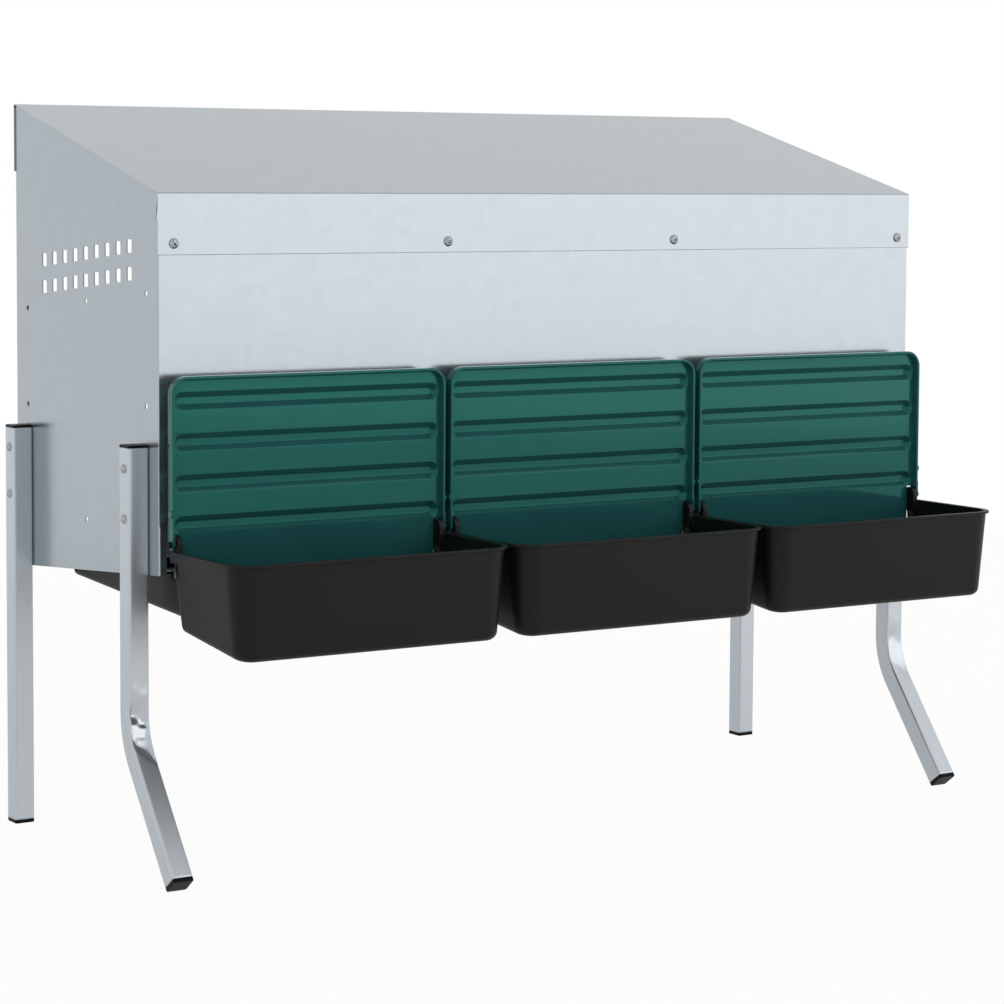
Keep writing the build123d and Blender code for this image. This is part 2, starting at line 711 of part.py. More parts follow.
with BuildPart() as cover:
    # the block of the lid, taller than needed until the grooves are cut
    with BuildSketch(facing(LID_BACK_D)) as face:
        with Locations((0, (LID_TOP_Z + TRIM_Z) / 2)):
            Rectangle(2 * LID_HALF, LID_TOP_Z - TRIM_Z)
        fillet(face.vertices().group_by(Axis.Y)[-1], radius=LID_CORNER)
    extrude(amount=LID_THICK)
    # the pocket inside the rim
    with BuildSketch(facing(LID_FACE_D)) as pocket:
        inner_top = LID_TOP_Z - LID_RIM
        with Locations((0, (inner_top + TRIM_Z - PAST) / 2)):
            Rectangle(2 * (LID_HALF - LID_RIM), inner_top - TRIM_Z + PAST)
        fillet(pocket.vertices().group_by(Axis.Y)[-1], radius=LID_CORNER - LID_RIM)
    extrude(amount=LID_DEEP, taper=-LID_RIM_DRAFT_DEG, mode=Mode.SUBTRACT)
    rim_edges = [
        edge
        for edge in cover.edges()
        if abs(edge.center().Y - yd(LID_FRONT_D)) < FIT and edge.center().Z > TRIM_Z + FIT
    ]
    fillet(rim_edges, radius=LID_RIM_R)
    # raised backs of the grooves, then the grooves themselves
    extrude(groove_bars(LID_BACK_D, RIDGE_WALL), amount=GROOVE_DEEP, taper=GROOVE_TAPER_DEG)
    extrude(
        groove_bars(LID_FACE_D, 0),
        amount=GROOVE_DEEP,
        taper=GROOVE_TAPER_DEG,
        mode=Mode.SUBTRACT,
    )
    # their floors and their lips are rounded
    for level_d, radius in ((LID_FACE_D + GROOVE_DEEP, GROOVE_FLOOR_R), (LID_FACE_D, GROOVE_EDGE_R)):
        groove_edges = [
            edge
            for edge in cover.edges()
            if abs(edge.center().Y - yd(level_d)) < FIT
            and min(abs(edge.center().Z - z) for z in GROOVE_ZS) < GROOVE_H / 2 + FIT
            and abs(edge.center().X) < GROOVE_HALF + FIT
        ]
        fillet(groove_edges, radius=radius)
    # trim the block to its lower edge
    with BuildSketch(Plane.XY.offset(LID_LOW_Z)):
        with Locations((0, yd(LID_BACK_D))):
            Rectangle(2 * PITCH, 2 * PAST)
    extrude(amount=-2 * PAST, mode=Mode.SUBTRACT)
    # pivot arms, rounded around the pin, and the small finger nubs on the rim
    for side_name, side in SIDES:
        arm_x = LID_HALF - ARM_T if side > 0 else -LID_HALF
        slab(
            arm_x,
            ARM_T,
            [
                (LID_FRONT_D, PIVOT_Z),
                (LID_BACK_D, PIVOT_Z),
                (LID_BACK_D, LID_LOW_Z + ARM_JOIN),
                (LID_FRONT_D, LID_LOW_Z + ARM_JOIN),
            ],
        )
        with BuildSketch(at_x(arm_x)):
            with Locations((yd(PIVOT_D), PIVOT_Z)):
                Circle(LID_THICK / 2)
        extrude(amount=ARM_T)
        drill(at_x(arm_x), ARM_T, [(yd(PIVOT_D), PIVOT_Z, PIN_R + RUN)])
        with BuildSketch(at_x(LID_HALF if side > 0 else -LID_HALF - NUB_T)):
            with Locations((yd(PIVOT_D - NUB_FORE), PIVOT_Z + NUB_UP)):
                Circle(NUB_R)
        extrude(amount=NUB_T)
    # the tongue that hangs below the pivot
    with BuildSketch(facing(LID_BACK_D)) as tongue:
        with Locations((0, (TONGUE_LOW_Z + LID_LOW_Z + TONGUE_JOIN) / 2)):
            Rectangle(2 * TONGUE_HALF, LID_LOW_Z + TONGUE_JOIN - TONGUE_LOW_Z)
        fillet(tongue.vertices().group_by(Axis.Y)[0], radius=TONGUE_CORNER)
    extrude(amount=LID_PLATE)
for place, mid_x in COMPARTMENTS:
    with BuildPart() as lid:
        with Locations((mid_x, 0, 0)):
            add(cover.part)
    keep(lid, "lid_" + place)

# Hinge pins: short black plastic pins, pressed in the ears and running in the lid arms
PIN_LONG = LID_HALF + PIN_END - PIN_IN
for place, mid_x in COMPARTMENTS:
    with BuildPart() as hinge_pins:
        for side_name, side in SIDES:
            with BuildSketch(at_x(mid_x + (PIN_IN if side > 0 else -PIN_IN - PIN_LONG))):
                with Locations((yd(PIVOT_D), PIVOT_Z)):
                    Circle(PIN_R)
            extrude(amount=PIN_LONG)
    keep(hinge_pins, "hinge_pins_" + place)

# Legs: square tube, the rear pair straight and the front pair bent forward to the floor
BEND = radians(KINK_DEG)
FOOT_Z = TUBE / 2 * sin(BEND)
FOOT_RUN = (KINK_Z - FOOT_Z) / cos(BEND) - FOOT_T
FOOT_D = LEG_FRONT_D - FOOT_RUN * sin(BEND)
FOOT_TOP_Z = KINK_Z - FOOT_RUN * cos(BEND)


def tube_section(x, d):
    """Rounded square tube section at one place in plan."""
    bore = TUBE - 2 * TUBE_WALL
    with Locations((x, yd(d))):
        RectangleRounded(TUBE, TUBE, TUBE_ROUND)
        RectangleRounded(bore, bore, TUBE_ROUND - TUBE_WALL, mode=Mode.SUBTRACT)


def leg_holes(x, d):
    """Bolt holes through both walls of a leg."""
    drill(at_x(x - TUBE), 2 * TUBE, [(yd(d), z, BOLT_HOLE_R) for z in BOLT_ZS])


for side_name, side in SIDES:
    leg_x = side * LEG_X
    with BuildPart() as leg_rear:
        with BuildSketch(Plane.XY.offset(FOOT_T)):
            tube_section(leg_x, LEG_REAR_D)
        extrude(amount=LEG_TOP_Z - FOOT_T)
        leg_holes(leg_x, LEG_REAR_D)
    keep(leg_rear, "leg_rear_" + side_name)
    with BuildPart() as leg_front:
        with BuildLine(at_x(leg_x)):
            FilletPolyline(
                (yd(LEG_FRONT_D), LEG_TOP_Z),
                (yd(LEG_FRONT_D), KINK_Z),
                (yd(FOOT_D), FOOT_TOP_Z),
                radius=KINK_R,
            )
        with BuildSketch(Plane.XY.offset(LEG_TOP_Z)):
            tube_section(leg_x, LEG_FRONT_D)
        sweep()
        leg_holes(leg_x, LEG_FRONT_D)
    keep(leg_front, "leg_front_" + side_name)

# Black end plugs: a square head over the tube end and a hollow plug inside it
PLUG = TUBE - 2 * TUBE_WALL - 2 * SEAT


def plug(name, thick, plane):
    """Plug whose head stands out along the plane's normal, starting at the tube end."""
    with BuildPart() as stopper:
        with BuildSketch(plane):
            RectangleRounded(TUBE, TUBE, TUBE_ROUND)
        extrude(amount=thick)
        head = stopper.faces().sort_by(Axis(plane.origin, plane.z_dir))[-1]
        fillet(head.edges(), radius=CAP_EDGE_R)
        with BuildSketch(plane):
            RectangleRounded(PLUG, PLUG, PLUG_ROUND)
            Rectangle(PLUG - 2 * PLUG_WALL, PLUG - 2 * PLUG_WALL, mode=Mode.SUBTRACT)
        extrude(amount=-PLUG_DEEP)
    keep(stopper, name)


for side_name, side in SIDES:
    leg_x = side * LEG_X
    plug("cap_front_" + side_name, CAP_T, Plane((leg_x, yd(LEG_FRONT_D), LEG_TOP_Z)))
    plug("cap_rear_" + side_name, CAP_T, Plane((leg_x, yd(LEG_REAR_D), LEG_TOP_Z)))
    plug(
        "foot_front_" + side_name,
        FOOT_T,
        Plane((leg_x, yd(FOOT_D), FOOT_TOP_Z), x_dir=(1, 0, 0), z_dir=(0, -sin(BEND), -cos(BEND))),
    )
    plug(
        "foot_rear_" + side_name,
        FOOT_T,
        Plane((leg_x, yd(LEG_REAR_D), FOOT_T), x_dir=(1, 0, 0), z_dir=(0, 0, -1)),
    )

# Leg bolts and their nuts inside the box
BOLT_LONG = TUBE + SHEET + NUT_T + BOLT_END
BOLT_SPOTS = [(side, d, z) for side in (-1, 1) for d in (LEG_FRONT_D, LEG_REAR_D) for z in BOLT_ZS]
with BuildPart() as leg_bolts:
    for side, d, z in BOLT_SPOTS:
        seat = Plane((side * (HALF_W + TUBE), yd(d), z), x_dir=(0, 1, 0), z_dir=(side, 0, 0))
        with BuildSketch(seat):
            Circle(BOLT_HEAD_R)
        extrude(amount=BOLT_HEAD_H)
        with BuildSketch(seat):
            Circle(BOLT_R)
        extrude(amount=-BOLT_LONG)
    domes = [
        edge
        for edge in leg_bolts.edges().filter_by(GeomType.CIRCLE)
        if abs(edge.center().X) > HALF_W + TUBE + BOLT_HEAD_H - SEAT
    ]
    fillet(domes, radius=BOLT_DOME_R)
keep(leg_bolts, "leg_bolts")

with BuildPart() as leg_nuts:
    for side, d, z in BOLT_SPOTS:
        seat = Plane((side * (HALF_W - SHEET), yd(d), z), x_dir=(0, 1, 0), z_dir=(-side, 0, 0))
        with BuildSketch(seat):
            RegularPolygon(NUT_AF / 2, 6, major_radius=False)
            Circle(BOLT_R + FIT, mode=Mode.SUBTRACT)
        extrude(amount=NUT_T)
keep(leg_nuts, "leg_nuts")


# Roof screws: pan heads with a cross recess, driven through the roof folds into the flanges
def roof_screws(name, face_d, toward, z):
    with BuildPart() as screws:
        for x in SCREW_XS:
            seat = Plane((x, yd(face_d), z), x_dir=(1, 0, 0), z_dir=(0, toward, 0))
            with BuildSketch(seat):
                Circle(SCREW_HEAD_R)
            extrude(amount=SCREW_HEAD_H)
            with BuildSketch(seat):
                Circle(SCREW_R)
            extrude(amount=-SCREW_LONG)
        top_y = yd(face_d) + toward * SCREW_HEAD_H
        domes = [
            edge
            for edge in screws.edges().filter_by(GeomType.CIRCLE)
            if abs(edge.center().Y - top_y) < FIT
        ]
        fillet(domes, radius=SCREW_DOME_R)
        for x in SCREW_XS:
            with BuildSketch(Plane((x, top_y, z), x_dir=(1, 0, 0), z_dir=(0, toward, 0))):
                Rectangle(RECESS_LONG, RECESS_WIDE)
                Rectangle(RECESS_WIDE, RECESS_LONG)
            extrude(amount=-RECESS_DEEP, mode=Mode.SUBTRACT)
    keep(screws, name)


roof_screws("roof_screws_front", -SHEET, -1, FLAP_SCREW_Z)
roof_screws("roof_screws_rear", BOX_D, 1, APRON_SCREW_Z)


# Blind rivets that hold the front panel and the sill to the flanges
def rivets(name, head_d, toward, z):
    tail_d = head_d - toward * 2 * SHEET
    with BuildPart() as row:
        for x in SCREW_XS:
            seat = Plane((x, yd(head_d), z), x_dir=(1, 0, 0), z_dir=(0, toward, 0))
            with BuildSketch(seat):
                Circle(RIVET_R)
            extrude(amount=-2 * SHEET)
            with BuildSketch(seat):
                Circle(RIVET_HEAD_R)
            extrude(amount=RIVET_HEAD_H)
            with BuildSketch(Plane((x, yd(tail_d), z), x_dir=(1, 0, 0), z_dir=(0, -toward, 0))):
                Circle(RIVET_TAIL_R)
            extrude(amount=RIVET_TAIL_H)
    keep(row, name)


rivets("front_panel_rivets", 0.0, -1, FRONT_RIVET_Z)
rivets("sill_rivets", REAR_D, 1, SILL_RIVET_Z)
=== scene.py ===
# %% [markdown]
# This lesson dresses a three-place roll-out nest box for hens. The construction comes from the
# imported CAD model, which is the fixed frame: a folded zinc-coated sheet box on four square-tube
# legs, three black egg pans and three green lids that swing on pins. Everything below adds finish
# and moulded detail around that frame and never moves it.

# %% Load the frame
from math import cos, exp, pi, radians, sin, tan

import bmesh
import bpy
from mathutils import Matrix, Vector


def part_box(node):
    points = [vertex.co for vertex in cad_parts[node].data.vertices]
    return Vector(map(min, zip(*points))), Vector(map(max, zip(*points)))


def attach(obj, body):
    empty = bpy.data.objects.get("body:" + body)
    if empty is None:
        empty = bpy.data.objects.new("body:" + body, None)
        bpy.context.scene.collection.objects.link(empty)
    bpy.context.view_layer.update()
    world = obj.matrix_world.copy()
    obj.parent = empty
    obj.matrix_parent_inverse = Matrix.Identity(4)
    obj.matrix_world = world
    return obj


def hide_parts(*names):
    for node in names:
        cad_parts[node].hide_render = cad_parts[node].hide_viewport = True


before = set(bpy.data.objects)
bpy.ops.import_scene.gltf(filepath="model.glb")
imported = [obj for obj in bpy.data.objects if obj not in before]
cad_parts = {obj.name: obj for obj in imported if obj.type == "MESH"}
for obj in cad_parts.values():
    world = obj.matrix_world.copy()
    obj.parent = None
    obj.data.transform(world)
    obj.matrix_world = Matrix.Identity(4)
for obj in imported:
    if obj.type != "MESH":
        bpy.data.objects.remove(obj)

MM = 0.001
PLACES = ("left", "middle", "right")
SIDES = ("left", "right")
scene = bpy.context.scene
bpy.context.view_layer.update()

# %% [markdown]
# Every finish here is a small node tree. A single helper adds one node, sets its options and either
# writes a value in a socket or links what feeds it; a node stands for its first enabled output.
# Colours are written as the hex values a colour picker shows, and one function makes them linear for
# the shader.

# %% Node and colour helpers


def put(tree, kind, feeds=None, **options):
    """Add one node; feeds maps a socket to a value, or to the node or socket that drives it."""
    node = tree.nodes.new(kind)
    for name, value in options.items():
        setattr(node, name, value)
    for key, value in (feeds or {}).items():
        if isinstance(value, bpy.types.Node):
            value = next(socket for socket in value.outputs if socket.enabled)
        if isinstance(value, bpy.types.NodeSocket):
            tree.links.new(value, node.inputs[key])
        else:
            node.inputs[key].default_value = value
    return node


def linear(hex_code):
    """Linear red, green, blue and alpha of an sRGB hex colour."""
    parts = [int(hex_code[i : i + 2], 16) / 255 for i in (1, 3, 5)]
    return tuple(c / 12.92 if c <= 0.04045 else ((c + 0.055) / 1.055) ** 2.4 for c in parts) + (1.0,)


def new_finish(name):
    """Empty material with its tree and a principled shader."""
    finish = bpy.data.materials.new(name)
    finish.use_nodes = True
    tree = finish.node_tree
    tree.nodes.clear()
    shader = put(tree, "ShaderNodeBsdfPrincipled")
    put(tree, "ShaderNodeOutputMaterial", {"Surface": shader.outputs["BSDF"]})
    return finish, tree, shader


# %% [markdown]
# The box is hot-dip galvanised steel sheet. Zinc freezes on the steel in flat crystals, called
# spangle, which each lean a little differently, so a sheet is a quiet mosaic of slightly lighter and
# darker patches that mirror their surroundings softly. A Voronoi texture gives each crystal a random
# colour; its red moves the tone by about a percent and its green the roughness by a few. A slow noise
# is the faint waviness of rolled sheet. A thin dull layer of zinc oxide scatters a part of the light,
# so the shader is not fully metallic and the nests are not black.

# %% Galvanised sheet
SPANGLE = 11 * MM
ROLL_WAVE = 140 * MM
ROLL_DEEP = 0.6 * MM


def galvanised_sheet():
    finish, tree, shader = new_finish("galvanised_steel_sheet")
    place = put(tree, "ShaderNodeTexCoord").outputs["Object"]
    crystals = put(
        tree, "ShaderNodeTexVoronoi", {"Vector": place, "Scale": 1 / SPANGLE, "Randomness": 1.0}
    )
    lean = put(tree, "ShaderNodeSeparateColor", {"Color": crystals.outputs["Color"]})
    tone = put(
        tree,
        "ShaderNodeMix",
        {"Factor": lean.outputs["Red"], "A": linear("#A9B2B8"), "B": linear("#ABB4BA")},
        data_type="RGBA",
    )
    polish = put(
        tree,
        "ShaderNodeMapRange",
        {"Value": lean.outputs["Green"], "To Min": 0.215, "To Max": 0.23},
    )
    wave = put(tree, "ShaderNodeTexNoise", {"Vector": place, "Scale": 1 / ROLL_WAVE, "Detail": 1.0})
    bump = put(
        tree,
        "ShaderNodeBump",
        {"Height": wave.outputs["Fac"], "Strength": 0.008, "Distance": ROLL_DEEP},
    )
    tree.links.new(tone.outputs["Result"], shader.inputs["Base Color"])
    tree.links.new(polish.outputs["Result"], shader.inputs["Roughness"])
    tree.links.new(bump.outputs["Normal"], shader.inputs["Normal"])
    shader.inputs["Metallic"].default_value = 0.85
    return finish


SHEET = galvanised_sheet()
print("made", SHEET.name, "with spangle of", SPANGLE / MM, "mm")

# %% [markdown]
# The legs are bright zinc-plated tube. Drawing the tube through its die leaves faint lines that run
# along it, so the noise is stretched along the leg. The legs below carry two attributes for this: how
# far a point lies along the tube and how far around it, in metres, so the lines follow the bend. A
# third one says where the bending tool has rubbed the wall bright, and there the mirror is clearer.

# %% Bright zinc tube
DRAW_LINE = 0.9 * MM
DRAW_RUN = 90 * MM
RUBBED_ROUGH = 0.25


def zinc_tube():
    finish, tree, shader = new_finish("bright_zinc_plated_tube")
    along = put(tree, "ShaderNodeAttribute", attribute_name="along")
    across = put(tree, "ShaderNodeAttribute", attribute_name="across")
    drawn = put(
        tree,
        "ShaderNodeCombineXYZ",
        {"X": across.outputs["Fac"], "Y": along.outputs["Fac"]},
    )
    stretched = put(
        tree,
        "ShaderNodeMapping",
        {"Vector": drawn.outputs["Vector"], "Scale": (1 / DRAW_LINE, 1 / DRAW_RUN, 1.0)},
    )
    lines = put(tree, "ShaderNodeTexNoise", {"Vector": stretched.outputs["Vector"], "Scale": 1.0})
    tone = put(
        tree,
        "ShaderNodeMix",
        {"Factor": lines.outputs["Fac"], "A": linear("#C0C8CE"), "B": linear("#CCD3D8")},
        data_type="RGBA",
    )
    polish = put(
        tree,
        "ShaderNodeMapRange",
        {"Value": lines.outputs["Fac"], "To Min": 0.36, "To Max": 0.42},
    )
    rubbed = put(tree, "ShaderNodeAttribute", attribute_name="rubbed")
    clearer = put(
        tree,
        "ShaderNodeMix",
        {"Factor": rubbed.outputs["Fac"], "A": polish, "B": RUBBED_ROUGH},
        data_type="FLOAT",
    )
    tree.links.new(tone.outputs["Result"], shader.inputs["Base Color"])
    tree.links.new(clearer.outputs["Result"], shader.inputs["Roughness"])
    shader.inputs["Metallic"].default_value = 0.8
    return finish


TUBE_FINISH = zinc_tube()
print("made", TUBE_FINISH.name)

# %% [markdown]
# Screws, bolts, nuts and rivets are barrel-plated: tumbled together in the zinc bath, so the coat is
# uneven. A fine noise makes small spots that differ in tone and in polish, and the heads glitter a
# little instead of looking like one clean mirror.

# %% Plated fasteners
PLATE_SPOT = 1.6 * MM


def plated_fastener():
    finish, tree, shader = new_finish("barrel_plated_zinc")
    place = put(tree, "ShaderNodeTexCoord").outputs["Object"]
    spots = put(
        tree, "ShaderNodeTexNoise", {"Vector": place, "Scale": 1 / PLATE_SPOT, "Detail": 2.0}
    )
    tone = put(
        tree,
        "ShaderNodeMix",
        {"Factor": spots.outputs["Fac"], "A": linear("#8E9397"), "B": linear("#B8BCBF")},
        data_type="RGBA",
    )
    polish = put(
        tree, "ShaderNodeMapRange", {"Value": spots.outputs["Fac"], "To Min": 0.1, "To Max": 0.2}
    )
    tree.links.new(tone.outputs["Result"], shader.inputs["Base Color"])
    tree.links.new(polish.outputs["Result"], shader.inputs["Roughness"])
    shader.inputs["Metallic"].default_value = 1.0
    return finish


PLATED = plated_fastener()
print("made", PLATED.name)

# %% [markdown]
# The pans are black polypropylene, moulded in a tool with a fine spark-eroded grain. The grain
# scatters the gloss, so the walls look even and dark with a soft sheen at a flat angle. Real grain is
# about 0.3 mm, too fine to show at this distance, so it is drawn a little coarser. The plugs of the
# legs and the hinge pins are black polyethylene, which is made the same way and looks a bit deeper.

# %% Black moulded plastics
PAN_GRAIN = 0.8 * MM
CAP_GRAIN = 0.6 * MM
GRAIN_DEEP = 0.08 * MM
FLOW_CLOUD = 60 * MM
ROUGH_SPREAD = 0.04


def black_moulding(name, dark, pale, rough, gloss, grain):
    finish, tree, shader = new_finish(name)
    place = put(tree, "ShaderNodeTexCoord").outputs["Object"]
    cloud = put(tree, "ShaderNodeTexNoise", {"Vector": place, "Scale": 1 / FLOW_CLOUD, "Detail": 3.0})
    tone = put(
        tree,
        "ShaderNodeMix",
        {"Factor": cloud.outputs["Fac"], "A": linear(dark), "B": linear(pale)},
        data_type="RGBA",
    )
    pits = put(tree, "ShaderNodeTexNoise", {"Vector": place, "Scale": 1 / grain, "Detail": 1.0})
    bump = put(
        tree,
        "ShaderNodeBump",
        {"Height": pits.outputs["Fac"], "Strength": 0.25, "Distance": GRAIN_DEEP},
    )
    polish = put(
        tree,
        "ShaderNodeMapRange",
        {
            "Value": cloud.outputs["Fac"],
            "To Min": rough - ROUGH_SPREAD,
            "To Max": rough + ROUGH_SPREAD,
        },
    )
    tree.links.new(tone.outputs["Result"], shader.inputs["Base Color"])
    tree.links.new(polish.outputs["Result"], shader.inputs["Roughness"])
    tree.links.new(bump.outputs["Normal"], shader.inputs["Normal"])
    shader.inputs["Specular IOR Level"].default_value = gloss
    return finish


PAN_FINISH = black_moulding("black_polypropylene", "#101112", "#141516", 0.44, 0.2, PAN_GRAIN)
CAP_FINISH = black_moulding("black_polyethylene", "#0B0C0D", "#0F1011", 0.4, 0.1, CAP_GRAIN)
print("made", PAN_FINISH.name, "and", CAP_FINISH.name)

# %% [markdown]
# The lids are a deep blue-green plastic out of a polished tool, so they mirror the pan below them and
# the bright room in front. Their gloss takes on the pigment's colour: the specular tint is the same
# hue as the body, only lighter. A faint cloud in the tone keeps large flats from looking printed.

# %% Green lid plastic
LID_CLOUD = 45 * MM
LID_RIPPLE = 22 * MM
RIPPLE_DEEP = 0.1 * MM


def green_lid_plastic():
    finish, tree, shader = new_finish("polished_green_plastic")
    place = put(tree, "ShaderNodeTexCoord").outputs["Object"]
    cloud = put(
        tree, "ShaderNodeTexNoise", {"Vector": place, "Scale": 1 / LID_CLOUD, "Detail": 3.0}
    )
    tone = put(
        tree,
        "ShaderNodeMix",
        {"Factor": cloud.outputs["Fac"], "A": linear("#225456"), "B": linear("#26595A")},
        data_type="RGBA",
    )
    ripple = put(
        tree, "ShaderNodeTexNoise", {"Vector": place, "Scale": 1 / LID_RIPPLE, "Detail": 1.0}
    )
    bump = put(
        tree,
        "ShaderNodeBump",
        {"Height": ripple.outputs["Fac"], "Strength": 0.2, "Distance": RIPPLE_DEEP},
    )
    polish = put(
        tree, "ShaderNodeMapRange", {"Value": cloud.outputs["Fac"], "To Min": 0.06, "To Max": 0.1}
    )
    tree.links.new(tone.outputs["Result"], shader.inputs["Base Color"])
    tree.links.new(polish.outputs["Result"], shader.inputs["Roughness"])
    tree.links.new(bump.outputs["Normal"], shader.inputs["Normal"])
    shader.inputs["Specular IOR Level"].default_value = 0.52
    shader.inputs["Specular Tint"].default_value = linear("#6EFFD6")
    return finish


LID_FINISH = green_lid_plastic()
print("made", LID_FINISH.name)

# %% [markdown]
# The folded sheets, the lids, the end plugs, the pins and the nuts keep their CAD shape, which already
# has the folds, slots, grooves and rounded rims of the real pieces. They only need their finish.

# %% Finish the pieces that stay as CAD
FINISHED = {
    SHEET: ["roof", "front_panel", "entrance_sill"]
    + [kind + side for kind in ("side_panel_", "partition_") for side in SIDES],
    CAP_FINISH: [
        kind + side
        for kind in ("cap_front_", "cap_rear_", "foot_front_", "foot_rear_")
        for side in SIDES
    ]
    + ["hinge_pins_" + place for place in PLACES],
    LID_FINISH: ["lid_" + place for place in PLACES],
    PLATED: ["leg_nuts"],
}
for finish, nodes in FINISHED.items():
    for node in nodes:
        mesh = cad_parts[node].data
        mesh.materials.clear()
        mesh.materials.append(finish)
    print(finish.name, "on", ", ".join(nodes))

# %% [markdown]
# The pans are mouldings, and no moulded edge is knife sharp, least of all the rim that a hand meets.
# The CAD triangles are copied and welded, the edges that turn sharply are given a bevel weight, and a
# bevel rounds them.

# %% Pans with rounded edges
WELD = 0.002 * MM
SHARP_DEG = 28
PAN_ROUND = 0.7 * MM
ROUND_STEPS = 3
for place in PLACES:
    node = "nest_pan_" + place
    mesh = bpy.data.meshes.new("moulded_pan_" + place)
    form = bmesh.new()
    form.from_mesh(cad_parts[node].data)
    bmesh.ops.remove_doubles(form, verts=form.verts, dist=WELD)
    weight = form.edges.layers.float.new("bevel_weight_edge")
    for edge in form.edges:
        edge.smooth = edge.calc_face_angle(0.0) < radians(SHARP_DEG)
        edge[weight] = 0.0 if edge.smooth else 1.0
    for face in form.faces:
        face.smooth = True
    form.to_mesh(mesh)
    form.free()
    pan = bpy.data.objects.new(mesh.name, mesh)
    scene.collection.objects.link(pan)
    bevel = pan.modifiers.new("rounding", "BEVEL")
    bevel.limit_method = "WEIGHT"
    bevel.width = PAN_ROUND
    bevel.segments = ROUND_STEPS
    bevel.loop_slide = False
    bevel.use_clamp_overlap = False
    bevel.harden_normals = True
    rounded = bpy.data.meshes.new_from_object(
        pan.evaluated_get(bpy.context.evaluated_depsgraph_get())
    )
    pan.modifiers.clear()
    pan.data = rounded
    rounded.materials.clear()
    rounded.materials.append(PAN_FINISH)
    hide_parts(node)
    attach(pan, "box")
    print(pan.name, len(rounded.polygons), "faces")

# %% [markdown]
# A leg is a rounded square section swept along a path, which Geometry Nodes do well: the path's
# corner is filleted to the bend radius and sampled evenly, and a filleted square follows it. On the
# way each point stores how far along the tube and how far around it lies, for the drawn lines.

# %% A tree with named inputs


def new_tree(name, inputs):
    """Geometry tree with a geometry in and out and the named inputs, each a socket kind."""
    tree = bpy.data.node_groups.new(name, "GeometryNodeTree")
    tree.interface.new_socket("Geometry", in_out="INPUT", socket_type="NodeSocketGeometry")
    for label, kind in inputs.items():
        tree.interface.new_socket(label, in_out="INPUT", socket_type="NodeSocket" + kind)
    tree.interface.new_socket("Geometry", in_out="OUTPUT", socket_type="NodeSocketGeometry")
    return tree, put(tree, "NodeGroupInput").outputs


def grown(source, tree, values, name):
    """Run a tree on an object with its inputs set, and keep the result as a plain mesh object."""
    step = source.modifiers.new(tree.name, "NODES")
    step.node_group = tree
    for item in tree.interface.items_tree:
        if item.in_out == "INPUT" and item.name in values:
            step[item.identifier] = values[item.name]
    mesh = bpy.data.meshes.new_from_object(
        source.evaluated_get(bpy.context.evaluated_depsgraph_get())
    )
    mesh.name = name
    bpy.data.objects.remove(source)
    piece = bpy.data.objects.new(name, mesh)
    scene.collection.objects.link(piece)
    return piece


# %% Tube leg tree
BEND_STEPS = 30
CORNER_STEPS = 4
WALL_CUTS = 7
leg_tree, leg_in = new_tree(
    "tube_leg",
    {
        "Tube": "Float",
        "Corner round": "Float",
        "Bend radius": "Float",
        "Ring step": "Float",
        "Finish": "Material",
    },
)
filleted = put(
    leg_tree,
    "GeometryNodeFilletCurve",
    {"Curve": leg_in["Geometry"], "Radius": leg_in["Bend radius"], "Count": BEND_STEPS},
    mode="POLY",
)
even = put(
    leg_tree,
    "GeometryNodeResampleCurve",
    {"Curve": filleted, "Length": leg_in["Ring step"]},
    mode="LENGTH",
)
upright = put(
    leg_tree,
    "GeometryNodeSetCurveNormal",
    {"Curve": even, "Normal": (1.0, 0.0, 0.0)},
    mode="FREE",
)
run = put(leg_tree, "GeometryNodeSplineParameter").outputs["Length"]
path = put(
    leg_tree,
    "GeometryNodeStoreNamedAttribute",
    {"Geometry": upright, "Name": "along", "Value": run},
    data_type="FLOAT",
    domain="POINT",
)
square = put(
    leg_tree,
    "GeometryNodeCurvePrimitiveQuadrilateral",
    {"Width": leg_in["Tube"], "Height": leg_in["Tube"]},
    mode="RECTANGLE",
)
softened = put(
    leg_tree,
    "GeometryNodeFilletCurve",
    {"Curve": square, "Radius": leg_in["Corner round"], "Count": CORNER_STEPS},
    mode="POLY",
)
divided = put(leg_tree, "GeometryNodeSubdivideCurve", {"Curve": softened, "Cuts": WALL_CUTS})
section = put(
    leg_tree,
    "GeometryNodeStoreNamedAttribute",
    {"Geometry": divided, "Name": "across", "Value": run},
    data_type="FLOAT",
    domain="POINT",
)
swept = put(leg_tree, "GeometryNodeCurveToMesh", {"Curve": path, "Profile Curve": section})
shaded = put(leg_tree, "GeometryNodeSetShadeSmooth", {"Geometry": swept, "Shade Smooth": True})
real = put(leg_tree, "GeometryNodeRealizeInstances", {"Geometry": shaded})
coated = put(
    leg_tree, "GeometryNodeSetMaterial", {"Geometry": real, "Material": leg_in["Finish"]}
)
put(leg_tree, "NodeGroupOutput", {"Geometry": coated})
print("leg tree has", len(leg_tree.nodes), "nodes")

# %% [markdown]
# The front legs were bent cold over a former, which buckles the inner wall, on one leg more than on
# the other. There is a crease across the bend, a pocket below it that deepens downward and ends along
# a slanting edge, and dents around both. A formula gives the depth at each point of the inner wall;
# the corners stay put. The pressed wall is also marked as rubbed. A dent is given by its place aside
# (-1 to 1), its rise above the crease, its reach and its depth, where a negative one bulges.

